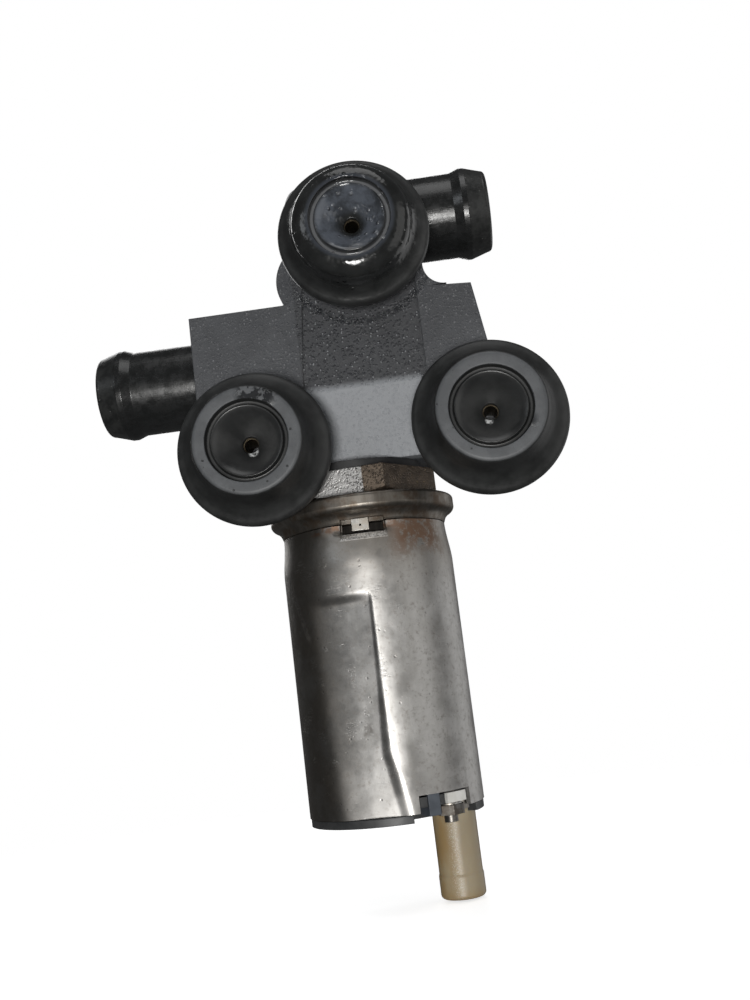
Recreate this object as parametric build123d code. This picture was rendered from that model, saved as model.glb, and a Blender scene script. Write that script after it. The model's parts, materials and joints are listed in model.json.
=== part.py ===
from build123d import *
import math
import os

os.makedirs("parts", exist_ok=True)

# A solenoid-operated three-way coolant diverter valve.
# Lengths are in millimetres. Heights are measured from the lower rim of the steel can while the
# parts are made, and every part is lowered by CLAMP_HEIGHT when it is saved, so that the origin
# is the middle of the can's clamp band. +Z runs up the can's axis and -Y is the front.
CLAMP_HEIGHT = 55.0

# Solenoid can
CAN_RADIUS = 20.0
CAN_WALL = 1.0
CAN_TOP = 63.6
NECK_FOOT = 57.0
NECK_RADIUS = 19.2
PANEL_DEPTH = 1.5
PANEL_ANGLE = -19.0
PANEL_TOP = 47.6
FOLD_ANGLE = -13.0
FOLD_TOP = 20.5
FOLD_DEPTH = 1.4
NOTCH_HEIGHT = 3.7
NOTCH_ANGLES = (17.8, 57.5)
WINDOW_HEIGHT = 2.3
WINDOW_ANGLES = (-11.6, 18.4)

CAP_FLANGE_RADIUS = 19.75
TERMINAL_ANGLE = 45.5
SPACER_ANGLES = (37.5, 55.0)
SPACER_INNER = 14.9
LUG_ANGLES = (25.0, 33.5)

# Metal collars between the can and the valve body
RING_RADIUS = 21.9
RING_FOOT = 63.8
RING_TOP = 70.0
HEX_FLATS = 32.0
HEX_FOOT = 70.2
HEX_TOP = 76.8
HEX_TURN = 22.5

# Valve body moulding
BODY_FRONT = -13.5
BODY_BACK = 12.5
BODY_FOOT = 79.0
BODY_TOP = 118.0
BODY_LEFT = -34.4
BODY_RIGHT = 35.2
BODY_RIGHT_TOP = 32.6
BEND_HEIGHT = 98.3
BEND_SETBACK = 4.0
COLUMN_LEFT = -9.5
COLUMN_RIGHT = 22.0
COLUMN_TOP = 129.0
PANEL_LEFT = -9.3
PANEL_LEFT_TOP = -6.8
PANEL_RIGHT = 19.8
CROWN_HEIGHT = 138.5
CROWN_RIGHT = 15.0
PANEL_RECESS = 0.5

# Valve bore inside the body
BORE_RADIUS = 7.0
LOWER_CHAMBER_RADIUS = 6.2
LOWER_SEAT_FOOT = 116.0
UPPER_SEAT_FOOT = 132.2
SEAT_THICKNESS = 2.0
SEAT_HOLE_RADIUS = 4.0
GLAND_RADIUS = 8.6
GLAND_TOP = 92.0
WEB_TOP = 95.0
CHANNEL_RADIUS = 5.0
REAR_CHANNEL_RADIUS = 4.5

# Hose barbs: a straight tube, a rise to the bead, a level land and a lead-in to the end
BARB_RADIUS = 10.3
BEAD_RADIUS = 11.1
BARB_BORE = 7.8
BEAD_RISE = 2.2
BEAD_LAND = 1.2
BARB_NOSE = 5.2
SPIGOT_RADIUS = 8.8
SPIGOT_DEPTH = 4.0
LEFT_PORT_HEIGHT = 105.3
RIGHT_PORT_HEIGHT = 139.7
REAR_PORT_HEIGHT = 129.0
REAR_PORT_X = -4.0
LEFT_BARB_LENGTH = 25.0
RIGHT_BARB_LENGTH = 25.0
REAR_BARB_LENGTH = 25.0
REAR_CHANNEL_X = -2.0
REAR_CHANNEL_HEIGHT = 127.0
REAR_BOSS_END = 16.5

# Rubber mounting buffers on three pegs: x and height of each
BUFFER_PLACES = {"top": (7.2, 129.6), "left": (-20.6, 82.6), "right": (32.2, 82.8)}
EAR_RADIUS = 10.0
EAR_FRONT = -19.4
PEG_RADIUS = 5.0
PEG_LENGTH = 6.0
BUFFER_RADIUS = 17.5
BUFFER_LENGTH = 12.7
BUFFER_NOSE = 11.4
PILOT_RADIUS = 1.75

# Moving parts
STROKE = 3.0
PLUNGER_RADIUS = 7.30
GUIDE_BORE = 7.35
GUIDE_RADIUS = 7.95
STEM_RADIUS = 2.0
STEM_HOLE = 2.05


def rod(radius, low, high, centre=(0.0, 0.0)):
    """A solid cylinder standing between two heights."""
    middle = (low + high) / 2
    return Pos(centre[0], centre[1], middle) * Cylinder(radius, high - low)


def tube(outer, inner, low, high, centre=(0.0, 0.0)):
    """A hollow cylinder standing between two heights."""
    return rod(outer, low, high, centre) - rod(inner, low - 1, high + 1, centre)


def block(x_range, y_range, z_range):
    """A box given by its limits along each axis."""
    middle = [(low + high) / 2 for low, high in (x_range, y_range, z_range)]
    size = [high - low for low, high in (x_range, y_range, z_range)]
    return Pos(*middle) * Box(*size)


def turned(*steps):
    """A solid of revolution about Z. Each step is a (radius, height) point reached by a straight
    line, or a pair of points: one that an arc passes through and the one where it ends."""
    here = steps[0]
    edges = []
    for step in steps[1:] + (steps[0],):
        if isinstance(step[0], tuple):
            edges.append(ThreePointArc(here, step[0], step[1]))
            here = step[1]
        else:
            edges.append(Line(here, step))
            here = step
    face = make_face(edges)
    return revolve(Plane.XZ * face, Axis.Z, 360)


def facing(x, y, z, direction):
    """The location that turns a part's local +Z to the given direction."""
    sideways = (0, 0, 1) if direction[2] == 0 else (1, 0, 0)
    return Plane(origin=(x, y, z), x_dir=sideways, z_dir=direction).location


def front_azimuth(degrees, radius):
    """The point on a circle about the can's axis at an angle to the right of the front."""
    angle = math.radians(degrees)
    return radius * math.sin(angle), -radius * math.cos(angle)


def sector(angles, inner, outer, low, high):
    """A wedge of a ring between two angles measured to the right of the front."""
    corners = [front_azimuth(angles[0], inner), front_azimuth(angles[0], outer)]
    middle_angle = (angles[0] + angles[1]) / 2
    outer_arc = ThreePointArc(
        corners[1], front_azimuth(middle_angle, outer), front_azimuth(angles[1], outer)
    )
    inner_arc = ThreePointArc(
        front_azimuth(angles[1], inner), front_azimuth(middle_angle, inner), corners[0]
    )
    sides = [
        Line(corners[0], corners[1]),
        Line(front_azimuth(angles[1], outer), front_azimuth(angles[1], inner)),
    ]
    face = make_face([sides[0], outer_arc, sides[1], inner_arc])
    return Pos(0, 0, low) * extrude(face, high - low)


def save(node, *shapes):
    """Write one node, lowered so that the clamp band's middle is at the origin."""
    solids = [solid for shape in shapes for solid in shape.solids()]
    whole = solids[0] if len(solids) == 1 else Compound(children=solids)
    whole.label = node
    lowered = Pos(0, 0, -CLAMP_HEIGHT) * whole
    lowered.label = node
    export_step(lowered, f"parts/{node}.step")


def turn_to(degrees):
    """The rotation about the can's axis that turns +X to an angle to the right of the front."""
    return Rot(0, 0, degrees - 90)


def panel_cutter(depth_offset):
    """What the pressed panel takes off the can, or off its inner wall: a flat from the step near
    the top down to the rim, and a small fold beside its lower end."""
    flat = CAN_RADIUS - PANEL_DEPTH - depth_offset
    outside = CAN_RADIUS + 4
    rise = outside - flat
    panel = Polyline(
        (flat, -5),
        (flat, PANEL_TOP - PANEL_DEPTH),
        (outside, PANEL_TOP - PANEL_DEPTH + rise),
        (outside, -5),
        close=True,
    )
    fold_top = CAN_RADIUS - depth_offset
    lean = FOLD_DEPTH / FOLD_TOP
    fold = Polyline(
        (fold_top - lean * (FOLD_TOP + 5), -5),
        (fold_top, FOLD_TOP),
        (fold_top + 2, FOLD_TOP + 2 / lean),
        (outside, FOLD_TOP + 2 / lean),
        (outside, -5),
        close=True,
    )
    cutter = turn_to(PANEL_ANGLE) * extrude(Plane.XZ * make_face(panel), 20, both=True)
    return cutter + turn_to(FOLD_ANGLE) * extrude(Plane.XZ * make_face(fold), 20, both=True)


# ---------------------------------------------------------------- solenoid can and its fittings
neck_drop = CAN_RADIUS - NECK_RADIUS
lean = neck_drop / (CAN_TOP - NECK_FOOT)
necked = turned((0, 0), (CAN_RADIUS, 0), (CAN_RADIUS, NECK_FOOT), (NECK_RADIUS, CAN_TOP), (0, CAN_TOP))
# The seam line of the round wall is put at the middle of the panel. This only chooses where the
# wall's face starts, and it changes nothing about the can's shape.
can_outside = turn_to(PANEL_ANGLE) * necked - panel_cutter(0)
can_inner_radius = CAN_RADIUS - CAN_WALL
can_inside = turned(
    (0, -1),
    (can_inner_radius, -1),
    (can_inner_radius, NECK_FOOT),
    (NECK_RADIUS - CAN_WALL - lean, CAN_TOP + 1),
    (0, CAN_TOP + 1),
)
can_inside -= panel_cutter(CAN_WALL)
can = can_outside - can_inside
can -= sector(NOTCH_ANGLES, 15, 22, -1, NOTCH_HEIGHT)
can -= sector(WINDOW_ANGLES, 15, 22, CAN_TOP - WINDOW_HEIGHT, CAN_TOP + 1)
save("solenoid_can", can)

ring = turned(
    (GUIDE_RADIUS + 0.35, RING_FOOT),
    (19.2, RING_FOOT),
    (19.4, RING_FOOT + 0.4),
    ((19.9, 65.3), (21.0, 66.2)),
    ((21.6, 66.7), (RING_RADIUS, 67.4)),
    (RING_RADIUS, 69.2),
    ((RING_RADIUS - 0.23, 69.77), (RING_RADIUS - 0.8, RING_TOP)),
    (GUIDE_RADIUS + 0.35, RING_TOP),
)
ring -= sector(WINDOW_ANGLES, 17.9, 24, RING_FOOT - 1, RING_FOOT + 0.9)
save("crimp_ring", ring)

hex_blank = Pos(0, 0, HEX_FOOT) * extrude(
    RegularPolygon(HEX_FLATS / 2, 6, major_radius=False), HEX_TOP - HEX_FOOT
)
hex_blank = Rot(0, 0, HEX_TURN - 90) * hex_blank
hex_corner = HEX_FLATS / math.sqrt(3)
hex_rounding = turned(
    (0, HEX_FOOT),
    (HEX_FLATS / 2 - 0.3, HEX_FOOT),
    (hex_corner + 0.3, HEX_FOOT + 1.5),
    (hex_corner + 0.3, HEX_TOP),
    (0, HEX_TOP),
)
hex_nut = (hex_blank & hex_rounding) - rod(GUIDE_RADIUS + 0.05, HEX_FOOT - 1, HEX_TOP + 1)
save("hex_gland_nut", hex_nut)

gasket = tube(15.0, GUIDE_RADIUS + 0.1, HEX_TOP + 0.2, BODY_FOOT - 0.2)
save("body_gasket", gasket)

latch = block((-1.3, 2.5), (-19.1, -18.5), (61.9, 64.6))
latch += block((0.3, 0.9), (-18.6, -17.2), (62.4, 63.4))
latch -= Pos(0.6, -18.8, 63.1) * Rot(90, 0, 0) * Cylinder(0.25, 4)
save("latch_tongue", latch)

# ---------------------------------------------------------------- inside the can
bobbin = tube(9.3, GUIDE_RADIUS + 0.2, 7.0, 60.0)
for foot in (7.0, 58.5):
    bobbin += tube(16.6, GUIDE_RADIUS + 0.2, foot, foot + 1.5)
bobbin += sector(LUG_ANGLES, 14.0, 18.9, -1.0, 7.5)
save("coil_bobbin", bobbin)

save("coil_winding", tube(16.2, 9.4, 8.6, 58.4))
save("guide_tube", tube(GUIDE_RADIUS, GUIDE_BORE, 5.2, 84.0))
upper_plate = tube(17.8, GUIDE_RADIUS + 0.1, 60.2, RING_FOOT - 0.2)
upper_plate -= block((-6, 8), (-22, -16.4), (59, 65))
save("upper_flux_plate", upper_plate)

lower_plate = tube(16.4, 5.4, 3.4, 5.0)
lower_plate -= sector((22, 61), 13.0, 20.0, 2, 6)
save("lower_flux_plate", lower_plate)

pole = rod(GUIDE_BORE - 0.03, 5.3, 26.0) + rod(5.2, 3.5, 5.4)
save("fixed_pole", pole)

sleeve_centre = (12.7, -3.4)
terminal = front_azimuth(TERMINAL_ANGLE, 17.2)
cap = rod(18.8, -1.8, 3.2) - panel_cutter(CAN_WALL + 0.05)
cap += rod(CAP_FLANGE_RADIUS, -1.8, -0.1)
cap -= sector((13.5, 66.0), 12.6, 25, -3, 1.0)
cap -= sector((LUG_ANGLES[0] - 0.6, LUG_ANGLES[1] + 0.6), 13.6, 25, -3, 5)
cap -= sector(SPACER_ANGLES, SPACER_INNER - 0.2, 25, 0, 5)
cap -= rod(1.6, -3, 5, terminal)
cap -= rod(5.0, -3, 1.4, sleeve_centre)
cap -= rod(1.5, -3, 5, sleeve_centre)
save("bottom_cap", cap)

# ---------------------------------------------------------------- electrical connection
inner_angles = (SPACER_ANGLES[0] + 0.5, SPACER_ANGLES[1] - 0.5)
spacer = sector(inner_angles, SPACER_INNER, 19.7, 1.1, 3.3)
save("terminal_spacer", spacer - rod(1.6, 0, 5, terminal))
save("terminal_stud", rod(1.5, -3.1, 6.0, terminal))

nut_turn = TERMINAL_ANGLE - 60
nut_blank = Pos(terminal[0], terminal[1], -1.5) * Rot(0, 0, nut_turn) * extrude(
    RegularPolygon(2.75, 6, major_radius=False), 2.1
)
save("terminal_nut", nut_blank - rod(1.55, -3, 3, terminal))

tag = tube(2.7, 1.6, 0.65, 1.0, terminal)
tag += sector((53.5, 62.0), 17.3, 18.6, -0.9, 1.0) - rod(3.3, -2, 0.65, terminal)
save("terminal_tag", tag)

sleeve = Pos(sleeve_centre[0], sleeve_centre[1], 0) * turned(
    (3.4, -20.2),
    ((3.7, -20.45), (4.1, -20.5)),
    ((4.78, -20.2), (5.05, -19.5)),
    (5.05, -15.6),
    (4.9, -15.0),
    (4.9, 1.2),
    (1.6, 1.2),
    (1.6, -2.4),
    (3.4, -2.4),
)
save("connector_sleeve", sleeve)
contact = rod(1.2, -4.6, 3.2, sleeve_centre)
save("contact_pin", contact)

# ---------------------------------------------------------------- valve body moulding
outline = Polyline(
    (BODY_LEFT, BODY_FOOT),
    (BODY_RIGHT, BODY_FOOT),
    (BODY_RIGHT, BEND_HEIGHT),
    (BODY_RIGHT_TOP, BODY_TOP - 0.8),
    (COLUMN_RIGHT, BODY_TOP),
    (BODY_LEFT, BODY_TOP),
    close=True,
)
body_depth = BODY_BACK - BODY_FRONT
body = Pos(0, BODY_BACK, 0) * extrude(Plane.XZ * make_face(outline), body_depth)
body += block((COLUMN_LEFT, COLUMN_RIGHT), (BODY_FRONT, BODY_BACK), (BODY_TOP - 1, COLUMN_TOP))

# The lower front slopes back towards the solenoid between the two lower buffers
slope = Polyline(
    (BODY_FRONT - 1, BEND_HEIGHT),
    (BODY_FRONT, BEND_HEIGHT),
    (BODY_FRONT + BEND_SETBACK, BODY_FOOT),
    (BODY_FRONT + BEND_SETBACK, BODY_FOOT - 1),
    (BODY_FRONT - 1, BODY_FOOT - 1),
    close=True,
)
slope_width = PANEL_RIGHT - 1.5 - PANEL_LEFT
body -= Pos(PANEL_LEFT, 0, 0) * extrude(Plane.YZ * make_face(slope), slope_width)

crown_middle = (BODY_FRONT + BODY_BACK) / 2
crown_radius = (BODY_BACK - BODY_FRONT) / 2
crown_left = COLUMN_LEFT + 0.6
body += block((crown_left, CROWN_RIGHT), (BODY_FRONT, BODY_BACK), (COLUMN_TOP - 1, CROWN_HEIGHT))
crown = Pos(COLUMN_LEFT, crown_middle, CROWN_HEIGHT) * Rot(0, 90, 0) * Cylinder(
    crown_radius, CROWN_RIGHT - COLUMN_LEFT, align=(Align.CENTER, Align.CENTER, Align.MIN)
)
crown = fillet(crown.edges().sort_by(Axis.X)[0], 4.5)
body += crown

# Fillets where the column rises from the shoulders
for edge_x, side in ((COLUMN_RIGHT, 1), (COLUMN_LEFT, -1)):
    corner = 5.0 if side > 0 else 2.5
    web = block(
        (min(edge_x, edge_x + side * corner), max(edge_x, edge_x + side * corner)),
        (BODY_FRONT, BODY_BACK),
        (BODY_TOP, BODY_TOP + corner),
    )
    scoop = Rot(90, 0, 0) * Cylinder(corner, 40)
    body += web - Pos(edge_x + side * corner, crown_middle, BODY_TOP + corner) * scoop

# The middle panel of the front is set back a little from the two shoulders
panel_outline = Polyline(
    (PANEL_LEFT, BEND_HEIGHT - 2.2),
    (PANEL_RIGHT, BEND_HEIGHT - 2.2),
    (PANEL_RIGHT, BODY_TOP + 4),
    (PANEL_LEFT_TOP, BODY_TOP + 4),
    close=True,
)
panel_back = BODY_FRONT + PANEL_RECESS
body -= Pos(0, panel_back, 0) * extrude(Plane.XZ * make_face(panel_outline), 3)

# Ears and pegs for the rubber buffers
peg_places = list(BUFFER_PLACES.values())
for x, z in peg_places:
    ear_depth = BODY_FRONT - EAR_FRONT + 0.8
    body += facing(x, EAR_FRONT + ear_depth, z, (0, -1, 0)) * Cylinder(
        EAR_RADIUS, ear_depth, align=(Align.CENTER, Align.CENTER, Align.MIN)
    )
    body += facing(x, EAR_FRONT + 1, z, (0, -1, 0)) * Cylinder(
        PEG_RADIUS, PEG_LENGTH + 1, align=(Align.CENTER, Align.CENTER, Align.MIN)
    )

# Round boss that carries the rear hose barb
body += facing(REAR_PORT_X, 2.0, REAR_PORT_HEIGHT, (0, 1, 0)) * Cylinder(
    BARB_RADIUS + 0.4, REAR_BOSS_END - 2.0, align=(Align.CENTER, Align.CENTER, Align.MIN)
)

# Valve bore from above, gland bore from below and the web between them
body -= rod(BORE_RADIUS, LOWER_SEAT_FOOT, 160)
body -= rod(LOWER_CHAMBER_RADIUS, WEB_TOP, LOWER_SEAT_FOOT + 1)
body -= rod(GLAND_RADIUS, 70, GLAND_TOP)
body -= rod(STEM_RADIUS + 0.6, 80, 100)

# Flow channels and the sockets that hold the hose barbs
body -= Pos(BODY_LEFT - 1, 0, LEFT_PORT_HEIGHT) * Rot(0, 90, 0) * Cylinder(
    CHANNEL_RADIUS, -BODY_LEFT + 1, align=(Align.CENTER, Align.CENTER, Align.MIN)
)
body -= Pos(0, 0, RIGHT_PORT_HEIGHT + 1.5) * Rot(0, 90, 0) * Cylinder(
    CHANNEL_RADIUS, 40, align=(Align.CENTER, Align.CENTER, Align.MIN)
)
body -= facing(REAR_CHANNEL_X, 0, REAR_CHANNEL_HEIGHT, (0, 1, 0)) * Cylinder(
    REAR_CHANNEL_RADIUS, 40, align=(Align.CENTER, Align.CENTER, Align.MIN)
)
socket_radius = SPIGOT_RADIUS + 0.05
ports = {
    "left": (BODY_LEFT, 0.0, LEFT_PORT_HEIGHT, (-1, 0, 0), LEFT_BARB_LENGTH),
    "right": (CROWN_RIGHT, 0.0, RIGHT_PORT_HEIGHT, (1, 0, 0), RIGHT_BARB_LENGTH),
    "rear": (REAR_PORT_X, REAR_BOSS_END, REAR_PORT_HEIGHT, (0, 1, 0), REAR_BARB_LENGTH),
}
for x, y, z, direction, length in ports.values():
    inward = tuple(-value for value in direction)
    body -= facing(x, y, z, inward) * Cylinder(
        socket_radius, SPIGOT_DEPTH + 0.1, align=(Align.CENTER, Align.CENTER, Align.MIN)
    )

# Blind bores in the pegs for the threaded inserts
insert_radius = 2.8
insert_length = 9.0
insert_bore = 1.55
peg_front = EAR_FRONT - PEG_LENGTH
for x, z in peg_places:
    body -= facing(x, peg_front, z, (0, 1, 0)) * Cylinder(
        insert_radius + 0.02, insert_length, align=(Align.CENTER, Align.CENTER, Align.MIN)
    )
save("valve_body", body)

inserts = []
for x, z in peg_places:
    blank = Cylinder(insert_radius, insert_length, align=(Align.CENTER, Align.CENTER, Align.MIN))
    hole = Cylinder(insert_bore, 20, align=(Align.CENTER, Align.CENTER, Align.CENTER))
    inserts.append(facing(x, peg_front, z, (0, 1, 0)) * (blank - hole))
save("peg_inserts", *inserts)

# ---------------------------------------------------------------- hose barbs
for name, (x, y, z, direction, length) in ports.items():
    crest_start = length - BARB_NOSE - BEAD_LAND
    barb = turned(
        (BARB_BORE, -SPIGOT_DEPTH),
        (SPIGOT_RADIUS, -SPIGOT_DEPTH),
        (SPIGOT_RADIUS, 0.05),
        (BARB_RADIUS, 0.05),
        (BARB_RADIUS, crest_start - BEAD_RISE),
        (BEAD_RADIUS, crest_start),
        (BEAD_RADIUS, crest_start + BEAD_LAND),
        (9.8, length - 1.0),
        ((9.5, length - 0.3), (8.9, length)),
        (BARB_BORE + 0.2, length),
        (BARB_BORE, length - 0.3),
    )
    save(f"{name}_hose_barb", facing(x, y, z, direction) * barb)

# ---------------------------------------------------------------- rubber buffers
socket_depth = PEG_LENGTH + 0.2
buffer_shape = turned(
    (PEG_RADIUS + 0.05, 0.0),
    (15.4, 0.0),
    ((16.7, 0.5), (17.4, 1.6)),
    (BUFFER_RADIUS, 2.6),
    ((17.3, 3.7), (16.4, 4.4)),
    ((14.5, 5.4), (13.2, 7.6)),
    (12.3, 11.0),
    ((12.05, 12.3), (BUFFER_NOSE, BUFFER_LENGTH)),
    (8.6, BUFFER_LENGTH),
    ((8.5, BUFFER_LENGTH - 0.8), (8.3, BUFFER_LENGTH - 1.0)),
    ((8.1, BUFFER_LENGTH - 0.8), (7.95, BUFFER_LENGTH - 0.4)),
    ((7.2, BUFFER_LENGTH - 0.12), (6.3, BUFFER_LENGTH - 0.5)),
    ((4.3, BUFFER_LENGTH - 1.3), (PILOT_RADIUS + 0.5, BUFFER_LENGTH - 2.2)),
    (PILOT_RADIUS, BUFFER_LENGTH - 2.8),
    (PILOT_RADIUS, socket_depth),
    (PEG_RADIUS + 0.05, socket_depth),
)
for name, (x, z) in BUFFER_PLACES.items():
    save(f"{name}_buffer", facing(x, EAR_FRONT - 0.1, z, (0, -1, 0)) * buffer_shape)

# ---------------------------------------------------------------- valve inside the body
for name, foot in (("lower_seat", LOWER_SEAT_FOOT + 0.05), ("upper_seat", UPPER_SEAT_FOOT)):
    save(name, tube(BORE_RADIUS - 0.05, SEAT_HOLE_RADIUS, foot, foot + SEAT_THICKNESS))

cage = tube(BORE_RADIUS - 0.05, 5.6, LOWER_SEAT_FOOT + SEAT_THICKNESS + 0.1, UPPER_SEAT_FOOT - 0.05)
cage -= facing(REAR_CHANNEL_X, 0, REAR_CHANNEL_HEIGHT, (0, 1, 0)) * Cylinder(
    REAR_CHANNEL_RADIUS + 0.2, 20, align=(Align.CENTER, Align.CENTER, Align.MIN)
)
save("seat_cage", cage)

keeper_foot = UPPER_SEAT_FOOT + SEAT_THICKNESS + 0.05
keeper = tube(BORE_RADIUS - 0.05, 5.6, keeper_foot, 147.0)
keeper -= Pos(0, 0, RIGHT_PORT_HEIGHT + 1.5) * Rot(0, 90, 0) * Cylinder(
    CHANNEL_RADIUS + 0.2, 20, align=(Align.CENTER, Align.CENTER, Align.MIN)
)
save("seat_keeper", keeper)

plug = rod(BORE_RADIUS - 0.03, 147.1, 150.6) - tube(8, 6.1, 148.4, 149.6)
save("top_plug", plug)
plug_ring = Pos(0, 0, 149.0) * Torus(6.54, 0.40)
save("top_plug_o_ring", plug_ring)

gland = tube(GLAND_RADIUS - 0.05, STEM_HOLE, 84.3, GLAND_TOP - 0.05)
gland -= tube(9, 7.6, 87.4, 88.9)
gland -= rod(3.6, 84, 86.4)
save("stem_gland", gland)
save("gland_o_ring", Pos(0, 0, 88.15) * Torus(8.05, 0.45))
save("stem_seal", tube(3.5, STEM_HOLE, 84.6, 86.2))

# ---------------------------------------------------------------- moving plunger, stem and poppets
plunger_foot = 26.0 + STROKE + 0.2
plunger = rod(PLUNGER_RADIUS, plunger_foot, 62.0)
plunger -= rod(4.5, plunger_foot - 1, 36.4)
plunger -= rod(STEM_RADIUS, 56.0, 63.0)
save("plunger", plunger)

stem = rod(STEM_RADIUS, 56.1, 135.4)
save("valve_stem", stem)

poppet_radius = 5.2
upper_poppet_top = UPPER_SEAT_FOOT - 0.1
lower_poppet_foot = LOWER_SEAT_FOOT + SEAT_THICKNESS + STROKE + 0.2
save("upper_poppet", tube(poppet_radius, STEM_RADIUS + 0.02, upper_poppet_top - 2.6, upper_poppet_top))
save("lower_poppet", tube(poppet_radius, STEM_RADIUS + 0.02, lower_poppet_foot, lower_poppet_foot + 2.6))
clip_heights = (lower_poppet_foot + 2.65, upper_poppet_top - 3.25)
save("poppet_clips", *[tube(3.4, STEM_RADIUS + 0.02, low, low + 0.6) for low in clip_heights])

spring_foot = 26.1
spring_top = 36.3
wire = 0.45
coil_pitch = 2.0
coil_height = spring_top - spring_foot - 2 * wire
path = Pos(0, 0, spring_foot + wire) * Helix(coil_pitch, coil_height, 3.7)
section = Plane(origin=path @ 0, z_dir=path % 0) * Circle(wire)
save("return_spring", sweep(section, path=path, is_frenet=True))
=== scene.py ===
import json
import math

import bpy
from mathutils import Matrix, Vector


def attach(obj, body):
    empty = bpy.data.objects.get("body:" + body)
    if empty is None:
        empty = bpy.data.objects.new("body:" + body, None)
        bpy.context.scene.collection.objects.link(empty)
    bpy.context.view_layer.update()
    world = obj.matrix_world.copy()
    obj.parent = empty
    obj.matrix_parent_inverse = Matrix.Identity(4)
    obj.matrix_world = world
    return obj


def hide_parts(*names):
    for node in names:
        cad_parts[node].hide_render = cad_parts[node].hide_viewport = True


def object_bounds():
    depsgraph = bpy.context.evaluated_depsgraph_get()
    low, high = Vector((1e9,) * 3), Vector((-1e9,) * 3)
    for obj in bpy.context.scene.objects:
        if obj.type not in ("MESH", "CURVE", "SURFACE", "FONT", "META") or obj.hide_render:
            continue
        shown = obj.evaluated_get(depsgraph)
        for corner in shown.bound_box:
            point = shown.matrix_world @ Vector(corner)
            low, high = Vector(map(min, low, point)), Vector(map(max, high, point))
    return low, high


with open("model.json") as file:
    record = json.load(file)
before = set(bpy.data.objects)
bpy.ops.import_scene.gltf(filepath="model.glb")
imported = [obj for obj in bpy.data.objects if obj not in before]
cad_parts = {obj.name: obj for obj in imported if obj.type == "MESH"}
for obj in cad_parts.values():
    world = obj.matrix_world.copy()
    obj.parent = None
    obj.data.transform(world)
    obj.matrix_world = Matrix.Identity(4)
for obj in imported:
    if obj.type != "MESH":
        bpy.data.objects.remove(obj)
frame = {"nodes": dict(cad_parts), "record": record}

# Lengths are in millimetres until a mesh or a node needs metres. Heights are measured from the
# solenoid can's lower rim, which lies RIM below the frame's origin.
MM = 0.001
RIM = -55.0
cad_box = [list(corner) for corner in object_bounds()]

# Rubber buffers: centre of each one across the front (x, z of the frame)
BUFFER_CENTRES = {"top_buffer": (7.2, 74.6), "left_buffer": (-20.6, 27.6), "right_buffer": (32.2, 27.8)}
BUFFER_BACK = -19.5
BUFFER_FACE = -32.2

# Solenoid can
CAN_RADIUS = 20.0
CAN_WALL = 1.0
CAN_TOP = 63.6
NECK_FOOT = 57.0
NECK_DROP = 0.8
PANEL_DEPTH = 1.5
PANEL_TOP = 47.4
PANEL_FACING = -16.5
RIM_FACING = -8.0
PANEL_RIGHT = 3.3
FOLD_TOP = 13.5
FOLD_RIGHT = 14.0
PANEL_STEP_HEIGHTS = (PANEL_TOP - 1.6, PANEL_TOP + 1.0)
NOTCH_HEIGHT = 3.7
NOTCH_ANGLES = (17.8, 57.5)
WINDOW_HEIGHT = 2.3
WINDOW_ANGLES = (-11.6, 18.4)
WINDOW_DENT = 0.65
WINDOW_DENT_WIDTH = 8
WINDOW_BULGE = 0.22
WINDOW_BULGE_WIDTH = 12
WINDOW_LIP_DENT = 0.5


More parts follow.
